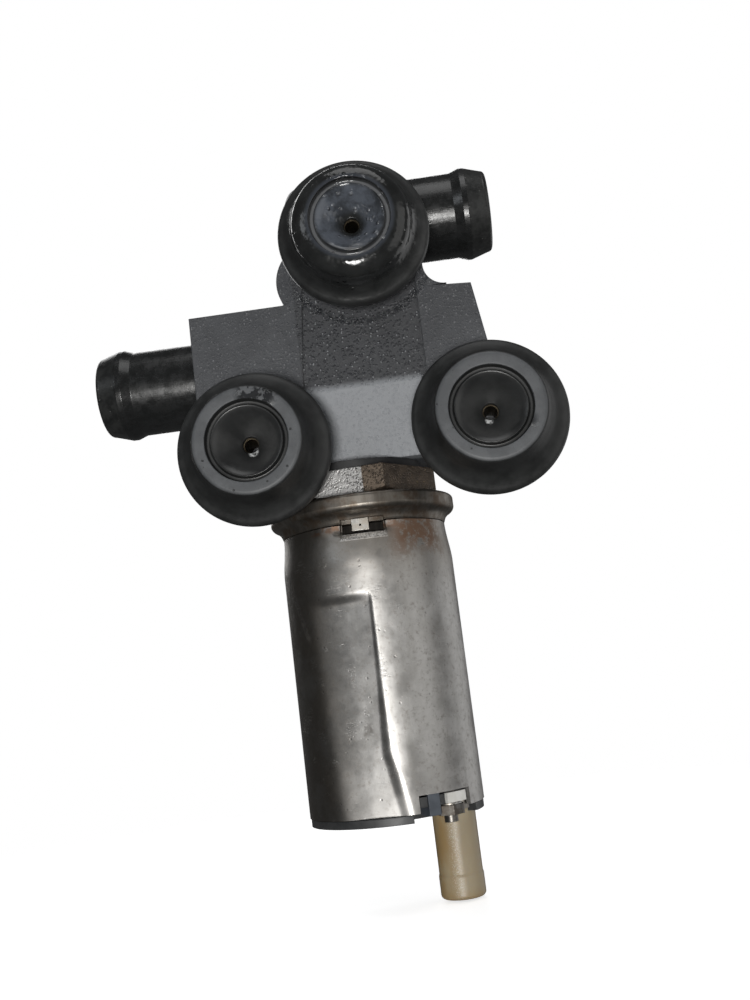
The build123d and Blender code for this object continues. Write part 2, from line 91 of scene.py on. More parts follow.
# ---------------------------------------------------------------- looks
class Look:
    """One procedural material. Its textures are placed in the row frame, in millimetres."""

    def __init__(self, name):
        self.material = bpy.data.materials.new(name)
        self.material.use_nodes = True
        self.nodes = self.material.node_tree.nodes
        self.links = self.material.node_tree.links
        self.shader = self.nodes["Principled BSDF"]
        coordinates = self.nodes.new("ShaderNodeTexCoord").outputs["Object"]
        self.place = self.vector("MULTIPLY", coordinates, (1 / MM, 1 / MM, 1 / MM))
        split = self.nodes.new("ShaderNodeSeparateXYZ")
        self.join(self.place, split.inputs[0])
        self.x, self.y, self.z = split.outputs
        self.height = self.maths("SUBTRACT", self.z, RIM)

    def join(self, value, socket):
        """Feeds a socket with another socket's value, or with a plain value."""
        if isinstance(value, bpy.types.NodeSocket):
            self.links.new(value, socket)
        else:
            socket.default_value = value

    def vector(self, operation, a, b):
        node = self.nodes.new("ShaderNodeVectorMath")
        node.operation = operation
        self.join(a, node.inputs[0])
        self.join(b, node.inputs[1])
        return node.outputs[0]

    def maths(self, operation, a, b=0.0):
        node = self.nodes.new("ShaderNodeMath")
        node.operation = operation
        self.join(a, node.inputs[0])
        self.join(b, node.inputs[1])
        return node.outputs[0]

    def noise(self, size, detail=4.0, rough=0.55, stretch=(1.0, 1.0, 1.0), warp=0.0, seed=0.0):
        """Noise from about 0.25 to 0.75 whose largest lumps have that size."""
        place = self.vector("MULTIPLY", self.place, stretch)
        place = self.vector("ADD", place, (seed, 2 * seed, 3 * seed))
        node = self.nodes.new("ShaderNodeTexNoise")
        self.join(place, node.inputs["Vector"])
        node.inputs["Scale"].default_value = 1 / size
        node.inputs["Detail"].default_value = detail
        node.inputs["Roughness"].default_value = rough
        node.inputs["Distortion"].default_value = warp
        return node.outputs[0]

    def cells(self, size, warp):
        """Distance within random cells whose edges wander by the warp, and a random value per cell."""
        waves = self.nodes.new("ShaderNodeTexNoise")
        self.join(self.place, waves.inputs["Vector"])
        waves.inputs["Scale"].default_value = 0.6 / size
        push = self.vector("MULTIPLY", waves.outputs["Color"], (warp, warp, warp))
        node = self.nodes.new("ShaderNodeTexVoronoi")
        self.join(self.vector("ADD", self.place, push), node.inputs["Vector"])
        node.inputs["Scale"].default_value = 1 / size
        split = self.nodes.new("ShaderNodeSeparateXYZ")
        self.join(node.outputs["Color"], split.inputs[0])
        return node.outputs["Distance"], split.outputs[0]

    def ramp(self, value, low, high, at_low=0.0, at_high=1.0):
        """A smooth change from one value to another as the input goes from low to high."""
        node = self.nodes.new("ShaderNodeMapRange")
        node.interpolation_type = "SMOOTHSTEP"
        if low > high:
            low, high, at_low, at_high = high, low, at_high, at_low
        self.join(value, node.inputs["Value"])
        node.inputs["From Min"].default_value = low
        node.inputs["From Max"].default_value = high
        node.inputs["To Min"].default_value = at_low
        node.inputs["To Max"].default_value = at_high
        return node.outputs[0]

    def within(self, value, low, high, soft):
        """1 between two values, with soft edges."""
        return self.product(
            self.ramp(value, low - soft, low + soft), self.ramp(value, high + soft, high - soft)
        )

    def product(self, *values):
        result = values[0]
        for value in values[1:]:
            result = self.maths("MULTIPLY", result, value)
        return result

    def total(self, *values):
        result = values[0]
        for value in values[1:]:
            result = self.maths("ADD", result, value)
        return result

    def colour(self, amount, base, over):
        """Two colours mixed by an amount."""
        node = self.nodes.new("ShaderNodeMix")
        node.data_type = "RGBA"
        self.join(amount, node.inputs[0])
        self.join((*base, 1.0) if isinstance(base, tuple) else base, node.inputs[6])
        self.join((*over, 1.0) if isinstance(over, tuple) else over, node.inputs[7])
        return node.outputs[2]

    def value(self, amount, base, over):
        """Two values mixed by an amount."""
        node = self.nodes.new("ShaderNodeMix")
        self.join(amount, node.inputs[0])
        self.join(base, node.inputs[2])
        self.join(over, node.inputs[3])
        return node.outputs[0]

    def near(self, x, z, radius, soft):
        """1 within a circle about a line that runs front to back."""
        return self.ramp(self.from_line(x, z), radius + soft, radius - soft)

    def from_line(self, x, z):
        """Distance from a line that runs front to back."""
        across = self.maths("SUBTRACT", self.x, x)
        up = self.maths("SUBTRACT", self.z, z)
        squares = self.total(self.product(across, across), self.product(up, up))
        return self.maths("SQRT", squares)

    def azimuth(self):
        """Degrees to the right of the front, about the can's axis."""
        front = self.maths("MULTIPLY", self.y, -1.0)
        return self.maths("MULTIPLY", self.maths("ARCTAN2", self.x, front), 180 / math.pi)

    def rounded(self, radius):
        """A normal that rounds sharp edges to a radius."""
        node = self.nodes.new("ShaderNodeBevel")
        node.samples = 6
        node.inputs["Radius"].default_value = radius * MM
        return node.outputs[0]

    def bump(self, height, depth, normal=None):
        node = self.nodes.new("ShaderNodeBump")
        node.inputs["Distance"].default_value = depth * MM
        self.join(height, node.inputs["Height"])
        if normal is not None:
            self.join(normal, node.inputs["Normal"])
        return node.outputs[0]

    def finish(self, **inputs):
        """Sets the shader's inputs and returns the material."""
        for name, value in inputs.items():
            socket = self.shader.inputs[name.replace("_", " ").title().replace("Ior", "IOR")]
            if isinstance(value, tuple) and len(value) == 3 and name.endswith(("color", "tint")):
                value = (*value, 1.0)
            self.join(value, socket)
        return self.material


def can_look():
    """Drawn steel: satin, mottled, browner towards the top, stained, scuffed and scratched, with painted
    shade darkening its left side.
    """
    look = Look("can_steel_look")
    angle = look.azimuth()
    mottle = look.noise(7.0, 6.0, 0.65)
    fine = look.noise(1.1, 6.0, 0.75)
    streaks = look.noise(2.2, 4.0, 0.6, stretch=(1.0, 1.0, 0.06))
    clean = look.colour(look.ramp(mottle, 0.35, 0.68), (0.41, 0.40, 0.385), (0.54, 0.53, 0.515))
    clean = look.colour(look.ramp(streaks, 0.5, 0.75, 0.0, 0.35), clean, (0.33, 0.32, 0.30))
    clean = look.colour(look.ramp(fine, 0.50, 0.68, 0.0, 0.75), clean, (0.29, 0.27, 0.25))

    top = look.product(look.ramp(look.height, 44.0, 62.0), look.ramp(mottle, 0.3, 0.6, 0.25, 0.8))
    paint = look.colour(top, clean, (0.25, 0.225, 0.195))
    # Painted shade: the left side of the can is darkened where less light falls on it.
    painted_left_shade = look.product(
        look.ramp(angle, -175.0, -110.0),
        look.ramp(angle, -8.0, -42.0),
        look.ramp(mottle, 0.25, 0.6, 0.6, 1.0),
    )
    paint = look.colour(painted_left_shade, paint, (0.145, 0.132, 0.116))

    stain_edge = look.total(look.height, look.maths("MULTIPLY", mottle, 9.0))
    stain = look.product(
        look.within(angle, 22.0, 62.0, 9.0),
        look.ramp(stain_edge, 58.5, 64.5),
        look.ramp(look.noise(1.6, 5.0, 0.7, seed=3.0), 0.34, 0.52),
    )
    paint = look.colour(look.maths("MULTIPLY", stain, 0.95), paint, (0.15, 0.085, 0.05))
    tabs = look.product(
        look.within(angle, -34.0, 27.0, 4.0),
        look.ramp(look.height, 61.6, 62.6),
        look.ramp(look.noise(2.0, 4.0, 0.6, seed=7.0), 0.42, 0.6),
    )
    paint = look.colour(look.maths("MULTIPLY", tabs, 0.8), paint, (0.21, 0.12, 0.075))

    scuff_line = look.total(angle, look.product(look.height, 1.15), -0.5)
    scuff_wander = look.maths("MULTIPLY", look.noise(1.3, 4.0, 0.7, seed=11.0), 6.0)
    scuff_line = look.total(scuff_line, scuff_wander, -2.9)
    scuff = look.product(
        look.within(scuff_line, -2.1, 1.3, 0.8),
        look.within(look.height, 39.5, 51.0, 2.0),
        look.ramp(look.noise(0.8, 4.0, 0.7, seed=13.0), 0.34, 0.5),
    )
    paint = look.colour(look.maths("MULTIPLY", scuff, 0.92), paint, (0.022, 0.021, 0.02))
    mark_angle = look.maths("ABSOLUTE", look.total(angle, 9.0))
    mark_height = look.maths("ABSOLUTE", look.total(look.height, -18.6))
    mark = look.product(
        look.ramp(mark_angle, 5.0, 2.0),
        look.ramp(mark_height, 1.9, 0.8),
        look.ramp(look.noise(0.9, 4.0, 0.7, seed=17.0), 0.4, 0.55),
    )
    paint = look.colour(look.maths("MULTIPLY", mark, 0.6), paint, (0.13, 0.12, 0.11))

    specks, chance = look.cells(1.3, warp=0.9)
    speck = look.product(look.ramp(specks, 0.26, 0.10), look.ramp(chance, 0.86, 0.90, 0.0, 0.5))
    paint = look.colour(look.maths("MULTIPLY", speck, 0.7), paint, (0.10, 0.09, 0.08))

    scratch_place = look.noise(0.5, 2.0, 0.5, stretch=(0.10, 0.10, 0.75), warp=0.6, seed=23.0)
    scratch = look.ramp(look.maths("ABSOLUTE", look.total(scratch_place, -0.5)), 0.016, 0.004)
    scratch = look.product(scratch, look.ramp(look.noise(5.0, 2.0, seed=29.0), 0.55, 0.66))
    paint = look.colour(look.maths("MULTIPLY", scratch, 0.30), paint, (0.68, 0.67, 0.65))

    lip = look.product(look.within(angle, -12.5, 19.0, 0.8), look.within(look.height, 59.9, 61.6, 0.15))
    lip_grain = look.noise(0.35, 3.0, 0.7, seed=31.0)
    paint = look.colour(look.product(lip, look.ramp(lip_grain, 0.35, 0.6)), paint, (0.66, 0.64, 0.61))

    rough = look.ramp(mottle, 0.3, 0.7, 0.36, 0.47)
    rough = look.total(rough, look.ramp(fine, 0.4, 0.7, 0.0, 0.07))
    rough = look.value(look.total(stain, scuff), rough, 0.62)
    metal = look.ramp(look.total(stain, scuff), 0.0, 1.0, 1.0, 0.45)
    dents = look.bump(look.noise(9.0, 2.0, 0.5, seed=37.0), 0.22)
    grain = look.bump(look.noise(0.16, 3.0, 0.6), 0.006, dents)
    pits = look.maths("ADD", look.maths("MULTIPLY", speck, -1.0), look.product(lip, lip_grain))
    normal = look.bump(look.maths("SUBTRACT", pits, look.product(scratch, 0.3)), 0.05, grain)
    return look.finish(base_color=paint, roughness=rough, metallic=metal, normal=normal)


def body_look():
    """Glass-filled nylon with a moulded grain, coarser on the middle panel, damp by the top buffer; its
    lower facet is painted light as a painted highlight, and light flecks are painted glints of the grain.
    """
    look = Look("body_nylon_look")
    x, z = BUFFER_CENTRES["top_buffer"]
    panel = look.product(
        look.within(look.x, -9.2, 19.7, 0.15),
        look.within(look.height, 96.2, 125.0, 0.3),
        look.ramp(look.y, -8.0, -11.0),
    )
    # Painted highlight: the lower facet's mask, painted lighter for the light it catches.
    lit_facet = look.product(
        look.within(look.x, -9.2, 18.4, 0.15),
        look.ramp(look.height, 98.0, 96.0),
        look.ramp(look.y, -4.0, -7.0),
    )
    mottle = look.noise(9.0, 4.0, 0.6)
    fine = look.noise(0.22, 3.0, 0.65)
    coarse, chance = look.cells(0.75, warp=0.3)
    paint = look.colour(look.ramp(mottle, 0.3, 0.7), (0.044, 0.046, 0.051), (0.064, 0.067, 0.073))
    paint = look.colour(look.maths("MULTIPLY", panel, 0.55), paint, (0.030, 0.031, 0.034))
    # Painted highlight: the lower facet painted much lighter than the rest of the nylon.
    paint = look.colour(look.maths("MULTIPLY", lit_facet, 0.9), paint, (0.27, 0.282, 0.30))
    # Painted glints: light flecks standing in for the sparkle of the coarse grain, stronger on the middle
    # panel.
    glint_fleck = look.product(look.ramp(coarse, 0.34, 0.16), look.ramp(chance, 0.70, 0.76))
    fleck_strength = look.value(panel, 0.30, 0.80)
    paint = look.colour(look.product(glint_fleck, fleck_strength), paint, (0.30, 0.31, 0.325))

    ring = look.from_line(x, z)
    damp = look.product(
        look.within(ring, 16.8, 18.7, 0.5),
        look.ramp(look.z, 69.0, 63.0),
        look.ramp(look.y, -9.0, -11.0),
        look.ramp(look.noise(0.7, 4.0, 0.6, seed=5.0), 0.42, 0.52),
    )
    drop, drop_chance = look.cells(0.7, warp=0.3)
    drops = look.product(look.ramp(drop, 0.5, 0.1), look.ramp(drop_chance, 0.35, 0.45), damp)
    rough = look.ramp(fine, 0.3, 0.7, 0.38, 0.50)
    rough = look.value(damp, rough, 0.10)
    paint = look.colour(look.maths("MULTIPLY", damp, 0.35), paint, (0.020, 0.021, 0.023))
    edge = look.rounded(0.45)
    normal = look.bump(fine, 0.09, edge)
    grain_height = look.product(look.ramp(coarse, 0.5, 0.1), look.value(panel, 0.35, 1.0))
    normal = look.bump(grain_height, 0.17, normal)
    normal = look.bump(drops, 0.22, normal)
    return look.finish(base_color=paint, roughness=rough, normal=normal)


def buffer_look(name, wet):
    """Moulded rubber. Its front ring is worn to grey, or wet and glossy on the top one, whose ring, dish,
    lip line and drops carry painted reflections and highlights. The lower ones have a painted sheen in the
    dish and a painted glint on the drop at its bottom.
    """
    look = Look(f"{name}_look")
    x, z = BUFFER_CENTRES[name]
    from_axis = look.from_line(x, z)
    cloud = look.noise(5.0, 5.0, 0.65, seed=x)
    fine = look.noise(0.30, 3.0, 0.6, seed=x)
    pit, chance = look.cells(1.5, warp=0.4)
    pits = look.product(look.ramp(pit, 0.22, 0.10), look.ramp(chance, 0.72, 0.76))
    front = look.ramp(look.y, BUFFER_FACE + 0.35, BUFFER_FACE + 0.12)
    ring = look.product(front, look.ramp(from_axis, 8.75, 8.95))
    paint = look.colour(look.ramp(cloud, 0.3, 0.7), (0.0115, 0.012, 0.012), (0.021, 0.022, 0.022))
    flange = look.product(look.within(from_axis, 15.6, 17.9, 0.4), look.ramp(cloud, 0.35, 0.65, 0.2, 0.8))
    paint = look.colour(look.maths("MULTIPLY", flange, 0.5), paint, (0.036, 0.037, 0.037))
    worn = look.colour(look.ramp(cloud, 0.38, 0.66), (0.070, 0.074, 0.079), (0.095, 0.100, 0.106))
    worn = look.colour(look.ramp(fine, 0.58, 0.70, 0.0, 0.5), worn, (0.035, 0.036, 0.038))
    # Painted sheen on the dish slopes; on the top buffer it is the bluish reflection in its water film.
    dish_sheen = look.product(look.ramp(from_axis, 8.2, 7.0), look.ramp(from_axis, 2.2, 4.2))
    dish_sheen = look.product(dish_sheen, look.ramp(cloud, 0.32, 0.62, 0.25, 1.0))
    normal = look.bump(fine, 0.010)
    if wet:
        # Painted reflection: the wet front ring is painted a lighter bluish grey, the window mirrored in
        # it.
        paint = look.colour(look.maths("MULTIPLY", ring, 0.7), paint, (0.050, 0.056, 0.068))
        paint = look.colour(look.maths("MULTIPLY", dish_sheen, 0.85), paint, (0.105, 0.118, 0.142))
        # Painted highlight: a thin light line round the dish lip.
        lip_highlight = look.within(from_axis, 8.1, 8.9, 0.25)
        paint = look.colour(look.maths("MULTIPLY", lip_highlight, 0.6), paint, (0.20, 0.205, 0.215))
        top = look.ramp(look.y, -24.0, -27.5)
        rough = look.value(top, 0.42, look.ramp(cloud, 0.35, 0.65, 0.07, 0.22))
        drop, drop_chance = look.cells(1.5, warp=0.5)
        right_or_top = look.ramp(look.total(look.x, look.z), 76.0, 84.0)
        drop_zone = look.product(look.within(from_axis, 2.6, 9.4, 0.5), right_or_top)
        drops = look.product(look.ramp(drop, 0.42, 0.05), look.ramp(drop_chance, 0.45, 0.55), drop_zone)
        few = look.product(look.ramp(drop, 0.36, 0.05), look.ramp(drop_chance, 0.86, 0.90), top)
        # Painted glints: the water drops are painted light grey for the light on them.
        paint = look.colour(look.maths("MULTIPLY", drops, 0.45), paint, (0.30, 0.31, 0.33))
        waves = look.bump(look.noise(3.2, 2.0, 0.5, seed=41.0), 0.28, normal)
        normal = look.bump(look.total(drops, few), 0.35, waves)
        return look.finish(base_color=paint, roughness=rough, normal=normal)

    rough = look.value(ring, look.ramp(cloud, 0.3, 0.7, 0.42, 0.55), 0.50)
    paint = look.colour(look.maths("MULTIPLY", ring, 0.95), paint, worn)
    # Painted sheen: the dry dishes are painted a little lighter on their slopes.
    paint = look.colour(look.product(dish_sheen, 0.15), paint, (0.050, 0.050, 0.051))
    rough = look.value(look.ramp(from_axis, 8.6, 8.2), rough, 0.32)
    paint = look.colour(look.product(pits, ring), paint, (0.02, 0.02, 0.02))
    glint_x, glint_z, glint_size = DROP_GLINTS[name]
    # Painted highlight: a white glint on the drop at the bottom of the dish.
    drop_glint = look.product(
        look.near(glint_x, glint_z, glint_size, 0.35),
        look.ramp(look.noise(0.7, 3.0, 0.6, seed=43.0), 0.36, 0.5),
    )
    paint = look.colour(drop_glint, paint, (0.62, 0.63, 0.63))
    rough = look.value(drop_glint, rough, 0.10)
    streak_x, streak_z, streak_size = WET_PATCHES[name]
    patch = look.product(
        look.near(streak_x, streak_z, streak_size, 1.2),
        look.ramp(look.noise(1.6, 3.0, 0.6, seed=47.0), 0.44, 0.52), front,
    )
    rough = look.value(patch, rough, 0.10)
    paint = look.colour(look.product(patch, 0.8), paint, (0.012, 0.012, 0.013))
    normal = look.bump(look.maths("MULTIPLY", look.product(pits, ring), -1.0), 0.12, normal)
    normal = look.bump(look.total(patch, drop_glint), 0.30, normal)
    return look.finish(base_color=paint, roughness=rough, normal=normal)


# Painted highlight: a white glint on the water drop at the bottom of each lower buffer's dish; and the wet
# patch on its front ring
DROP_GLINTS = {"left_buffer": (-20.1, 25.9, 1.0), "right_buffer": (31.6, 25.8, 0.75)}
WET_PATCHES = {"left_buffer": (-17.5, 37.6, 4.2), "right_buffer": (39.7, 23.6, 1.2)}


def barb_look(name, axis, gritty_from):
    """Smooth black nylon with scratches, wet and gritty towards the end that a hose covered."""
    look = Look(f"{name}_look")
    along = (look.x, look.y)[axis]
    if name == "left_hose_barb":
        along = look.maths("MULTIPLY", along, -1.0)
    stretch = (0.12, 1.0, 1.0) if axis == 0 else (1.0, 0.12, 1.0)
    lines = look.noise(0.7, 4.0, 0.6, stretch=stretch)
    cloud = look.noise(3.0, 5.0, 0.7)
    paint = look.colour(look.ramp(cloud, 0.35, 0.7), (0.0095, 0.010, 0.010), (0.017, 0.0175, 0.018))
    paint = look.colour(look.ramp(lines, 0.58, 0.72, 0.0, 0.4), paint, (0.030, 0.031, 0.032))
    grit, chance = look.cells(0.75, warp=0.3)
    end = look.ramp(along, gritty_from - 0.4, gritty_from + 0.4)
    gritty = look.product(look.ramp(grit, 0.3, 0.1), look.ramp(chance, 0.88, 0.92), end)
    paint = look.colour(look.product(gritty, 0.7), paint, (0.17, 0.17, 0.16))
    paint = look.colour(look.product(end, look.ramp(cloud, 0.35, 0.6), 0.55), paint, (0.032, 0.033, 0.032))
    rough = look.ramp(cloud, 0.3, 0.7, 0.20, 0.33)
    rough = look.value(look.product(end, 0.8), rough, 0.34)
    normal = look.bump(look.noise(1.6, 3.0, 0.6, seed=3.0), 0.035, look.rounded(0.2))
    normal = look.bump(look.total(gritty, look.product(lines, 0.4)), 0.08, normal)
    return look.finish(base_color=paint, roughness=rough, normal=normal)


def gland_look():
    """Rusting steel hexagon: pitted, with the front facets painted light grey as painted light, brown
    elsewhere, a few brassy specks.
    """
    look = Look("gland_steel_look")
    angle = look.azimuth()
    cloud = look.noise(2.4, 6.0, 0.7)
    pit, chance = look.cells(0.55, warp=0.25)
    right_part = look.ramp(angle, -9.0, -3.0, 0.25, 1.0)
    pits = look.product(look.ramp(pit, 0.55, 0.15), look.ramp(chance, 0.15, 0.3), right_part)
    # Painted light: the front facets are painted light grey steel where the light falls on them.
    lit_front = look.product(look.within(angle, -60.0, 7.3, 0.5), look.ramp(cloud, 0.30, 0.52, 0.55, 1.0))
    paint = look.colour(look.ramp(cloud, 0.35, 0.68), (0.085, 0.066, 0.050), (0.16, 0.125, 0.095))
    paint = look.colour(lit_front, paint, (0.44, 0.435, 0.43))
    paint = look.colour(look.product(pits, 0.35), paint, (0.12, 0.105, 0.09))
    gold = look.product(
        look.ramp(pit, 0.2, 0.1),
        look.ramp(chance, 0.93, 0.95),
        look.ramp(angle, 25.0, 35.0),
    )
    paint = look.colour(gold, paint, (0.75, 0.52, 0.12))
    rough = look.ramp(cloud, 0.3, 0.7, 0.36, 0.62)
    normal = look.bump(look.noise(0.9, 5.0, 0.7, seed=3.0), 0.10, look.rounded(0.35))
    normal = look.bump(look.maths("MULTIPLY", pits, -1.0), 0.16, normal)
    metal = look.ramp(lit_front, 0.0, 1.0, 0.75, 1.0)
    return look.finish(base_color=paint, roughness=rough, metallic=metal, normal=normal)


def metal_look(name, dark, light, roughness, stretch=(1.0, 1.0, 0.15), size=1.5, stain=None):
    """Plain metal with draw or turning marks, and stains where a colour is given."""
    look = Look(name)
    marks = look.noise(size, 5.0, 0.65, stretch=stretch)
    cloud = look.noise(3.5, 5.0, 0.65, seed=5.0)
    paint = look.colour(look.ramp(marks, 0.35, 0.68), dark, light)
    if stain:
        paint = look.colour(look.ramp(cloud, 0.42, 0.66, 0.0, 0.85), paint, stain)
    rough = look.ramp(cloud, 0.3, 0.7, roughness - 0.07, roughness + 0.08)
    normal = look.bump(look.noise(0.25, 4.0, 0.65, stretch=stretch), 0.012, look.rounded(0.15))
    return look.finish(base_color=paint, roughness=rough, metallic=1.0, normal=normal)


def plastic_look(name, dark, light, roughness, grain=0.012, size=4.0):
    """Plain moulded plastic or rubber with a fine grain and faint clouding."""
    look = Look(name)
    cloud = look.noise(size, 5.0, 0.6)
    fine = look.noise(0.25, 3.0, 0.6, seed=3.0)
    paint = look.colour(look.ramp(cloud, 0.32, 0.7), dark, light)
    rough = look.ramp(cloud, 0.3, 0.7, roughness - 0.05, roughness + 0.06)
    normal = look.bump(fine, grain, look.rounded(0.2))
    return look.finish(base_color=paint, roughness=rough, normal=normal)


def sleeve_look():
    """Undyed nylon, yellowed with age and a little see-through, with a painted highlight streak down its
    front.
    """
    look = Look("natural_nylon_look")
    cloud = look.noise(4.0, 5.0, 0.6, stretch=(1.0, 1.0, 0.4))
    fine = look.noise(0.22, 3.0, 0.7)
    side = look.total(look.x, look.product(cloud, 4.0))
    paint = look.colour(look.ramp(side, 10.0, 16.5), (0.32, 0.215, 0.095), (0.31, 0.255, 0.17))
    paint = look.colour(look.ramp(cloud, 0.42, 0.7, 0.0, 0.6), paint, (0.37, 0.315, 0.215))
    # Painted highlight: a light granular streak down the front where light glances off it.
    highlight_streak = look.product(look.within(look.x, 10.9, 13.0, 0.7), look.ramp(fine, 0.5, 0.64))
    paint = look.colour(look.product(highlight_streak, 0.6), paint, (0.62, 0.58, 0.50))
    low_edge = look.ramp(look.height, -17.5, -20.4, 0.0, 0.5)
    paint = look.colour(low_edge, paint, (0.27, 0.185, 0.085))
    rough = look.ramp(fine, 0.3, 0.7, 0.36, 0.5)
    normal = look.bump(fine, 0.020)
    return look.finish(
        base_color=paint, roughness=rough, normal=normal,
        subsurface_weight=0.25, subsurface_scale=0.002, subsurface_radius=(1.0, 0.6, 0.3),
    )


def winding_look():
    """Enamelled copper wire, as fine turns one above another."""
    look = Look("copper_wire_look")
    turns = look.maths("PINGPONG", look.product(look.z, 2.5), 1.0)
    cloud = look.noise(4.0, 4.0, 0.6)
    paint = look.colour(look.ramp(cloud, 0.3, 0.7), (0.42, 0.17, 0.07), (0.62, 0.28, 0.12))
    normal = look.bump(turns, 0.15)
    return look.finish(base_color=paint, roughness=0.33, metallic=0.9, normal=normal)


SLOT_LOOKS = {
    "can_steel": can_look(),
    "ring_steel": metal_look(
        "ring_steel_look", (0.16, 0.145, 0.125), (0.25, 0.23, 0.205), 0.44,
        size=2.0, stain=(0.115, 0.083, 0.058),
    ),
    "gland_steel": gland_look(),
    "bright_steel": metal_look(
        "bright_steel_look", (0.38, 0.375, 0.36), (0.60, 0.59, 0.57), 0.36, stain=(0.30, 0.27, 0.23)
    ),
    "stainless": metal_look("stainless_look", (0.50, 0.50, 0.49), (0.68, 0.68, 0.67), 0.26),
    "body_nylon": body_look(),
    "barb_nylon": barb_look("rear_hose_barb", 1, 35.0),
    "buffer_rubber": buffer_look("left_buffer", False),
    "cap_plastic": plastic_look(
        "cap_plastic_look", (0.022, 0.023, 0.024), (0.045, 0.046, 0.047), 0.45, grain=0.02
    ),
    "natural_nylon": sleeve_look(),
    "white_nylon": plastic_look("white_nylon_look", (0.62, 0.61, 0.57), (0.76, 0.755, 0.73), 0.45),
    "bobbin_nylon": plastic_look("bobbin_nylon_look", (0.14, 0.16, 0.19), (0.20, 0.225, 0.26), 0.45),
    "copper_wire": winding_look(),
    "brass": metal_look("brass_look", (0.52, 0.38, 0.16), (0.70, 0.54, 0.26), 0.30),
    "seal_rubber": plastic_look("seal_rubber_look", (0.012, 0.012, 0.013), (0.024, 0.024, 0.025), 0.5),
}
NODE_LOOKS = {
    "upper_flux_plate": metal_look(
        "blackened_steel_look", (0.012, 0.011, 0.010), (0.030, 0.027, 0.024), 0.6
    ),
    "terminal_nut": metal_look(
        "terminal_steel_look", (0.20, 0.19, 0.175), (0.34, 0.33, 0.31), 0.40, stain=(0.13, 0.11, 0.09)
    ),
    "terminal_stud": metal_look(
        "stud_steel_look", (0.14, 0.13, 0.12), (0.24, 0.23, 0.21), 0.42,
        stretch=(0.3, 0.3, 2.0), size=0.5,
    ),
    "coil_bobbin": plastic_look("lug_nylon_look", (0.055, 0.064, 0.078), (0.085, 0.098, 0.118), 0.45),
    "peg_inserts": metal_look("dull_brass_look", (0.045, 0.038, 0.028), (0.085, 0.068, 0.045), 0.5),
    "right_hose_barb": barb_look("right_hose_barb", 0, 35.0),
    "left_hose_barb": barb_look("left_hose_barb", 0, 54.5),
    "top_buffer": buffer_look("top_buffer", True),
    "right_buffer": buffer_look("right_buffer", False),
}
node_slots = {part["node"]: part["material_slot"] for part in frame["record"]["subparts"]}


def dress(piece, node):
    """Gives a piece the look of the CAD node that it is or stands for."""
    material = NODE_LOOKS.get(node, SLOT_LOOKS[node_slots[node]])
    piece.data.materials.clear()
    piece.data.materials.append(material)


for node, piece in frame["nodes"].items():
    dress(piece, node)


# ---------------------------------------------------------------- shapes
def new_piece(name, vertices, faces, sharp_degrees):
    """A smooth-shaded mesh whose edges stay sharp where its faces meet at a larger angle."""
    mesh = bpy.data.meshes.new(name)
    mesh.from_pydata([Vector(place) * MM for place in vertices], [], faces)
    mesh.validate()
    mesh.shade_smooth()
    mesh.set_sharp_from_angle(angle=math.radians(sharp_degrees))
    piece = bpy.data.objects.new(name, mesh)
    bpy.context.scene.collection.objects.link(piece)
    return piece


def stand_for(piece, node, body):
    """Shows a piece in place of the CAD node that it stands for."""
    dress(piece, node)
    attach(piece, body)
    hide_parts(node)


def smooth_step(low, high, value):
    share = min(max((value - low) / (high - low), 0.0), 1.0)
    return share * share * (3 - 2 * share)


def panel_depth(angle, height):
    """How far the pressed panel is set into the can. It is a flat that turns to the front towards
    the rim, with a step at its right edge that leans outwards and softens below FOLD_TOP."""
    turn = max(0.0, (PANEL_TOP - height) / PANEL_TOP) ** 2
    facing = PANEL_FACING + turn * (RIM_FACING - PANEL_FACING)
    off_middle = math.radians(angle - facing)
    if abs(off_middle) > 1.2:
        return 0.0
    flat = CAN_RADIUS - (CAN_RADIUS - PANEL_DEPTH) / math.cos(off_middle)
    rounding = 0.04 + 0.7 * (1 - smooth_step(facing - 16, facing + 4, angle))
    depth = (flat + math.hypot(flat, rounding)) / 2
    low = max(0.0, (FOLD_TOP - height) / FOLD_TOP)
    edge = PANEL_RIGHT + low * (FOLD_RIGHT - PANEL_RIGHT)
    softness = 1.6 + 7.0 * turn
    depth *= 1 - smooth_step(edge - softness, edge + softness * 0.4, angle)
    return depth * (1 - smooth_step(*PANEL_STEP_HEIGHTS, height))


def can_surface(angle, height):
    """The can's outer radius: necked at the top, with its pressed panel and window edges."""
    radius = CAN_RADIUS - NECK_DROP * smooth_step(NECK_FOOT - 2.5, CAN_TOP, height)
    radius -= panel_depth(angle, height)
    top_strip = smooth_step(61.0, 62.2, height)
    for window_edge, outward in zip(WINDOW_ANGLES, (-1, 1)):
        beyond = (angle - window_edge) * outward
        past_dent = beyond - WINDOW_DENT_WIDTH
        if -0.01 <= beyond < WINDOW_DENT_WIDTH:
            radius -= WINDOW_DENT * top_strip * (1 - smooth_step(0, WINDOW_DENT_WIDTH, beyond))
        elif 0 <= past_dent < WINDOW_BULGE_WIDTH:
            radius += WINDOW_BULGE * top_strip * math.sin(math.pi * past_dent / WINDOW_BULGE_WIDTH)
    if WINDOW_ANGLES[0] - 0.5 < angle < WINDOW_ANGLES[1] + 0.5:
        radius -= WINDOW_LIP_DENT * smooth_step(60.4, 61.3, height)
    return radius


def steps(low, high, spacing, exact):
    """Numbers from low to high at about that spacing, with the exact ones in place of any close by."""
    count = round((high - low) / spacing)
    values = [low + (high - low) * index / count for index in range(count + 1)]
    kept = [value for value in values if all(abs(value - mark) > spacing * 0.4 for mark in exact)]
    return sorted(kept + list(exact))


def cut_away(angle, height):
    """True inside the foot notch and the window."""
    in_notch = NOTCH_ANGLES[0] < angle < NOTCH_ANGLES[1] and height < NOTCH_HEIGHT
    in_window = WINDOW_ANGLES[0] < angle < WINDOW_ANGLES[1] and height > CAN_TOP - WINDOW_HEIGHT
    return in_notch or in_window


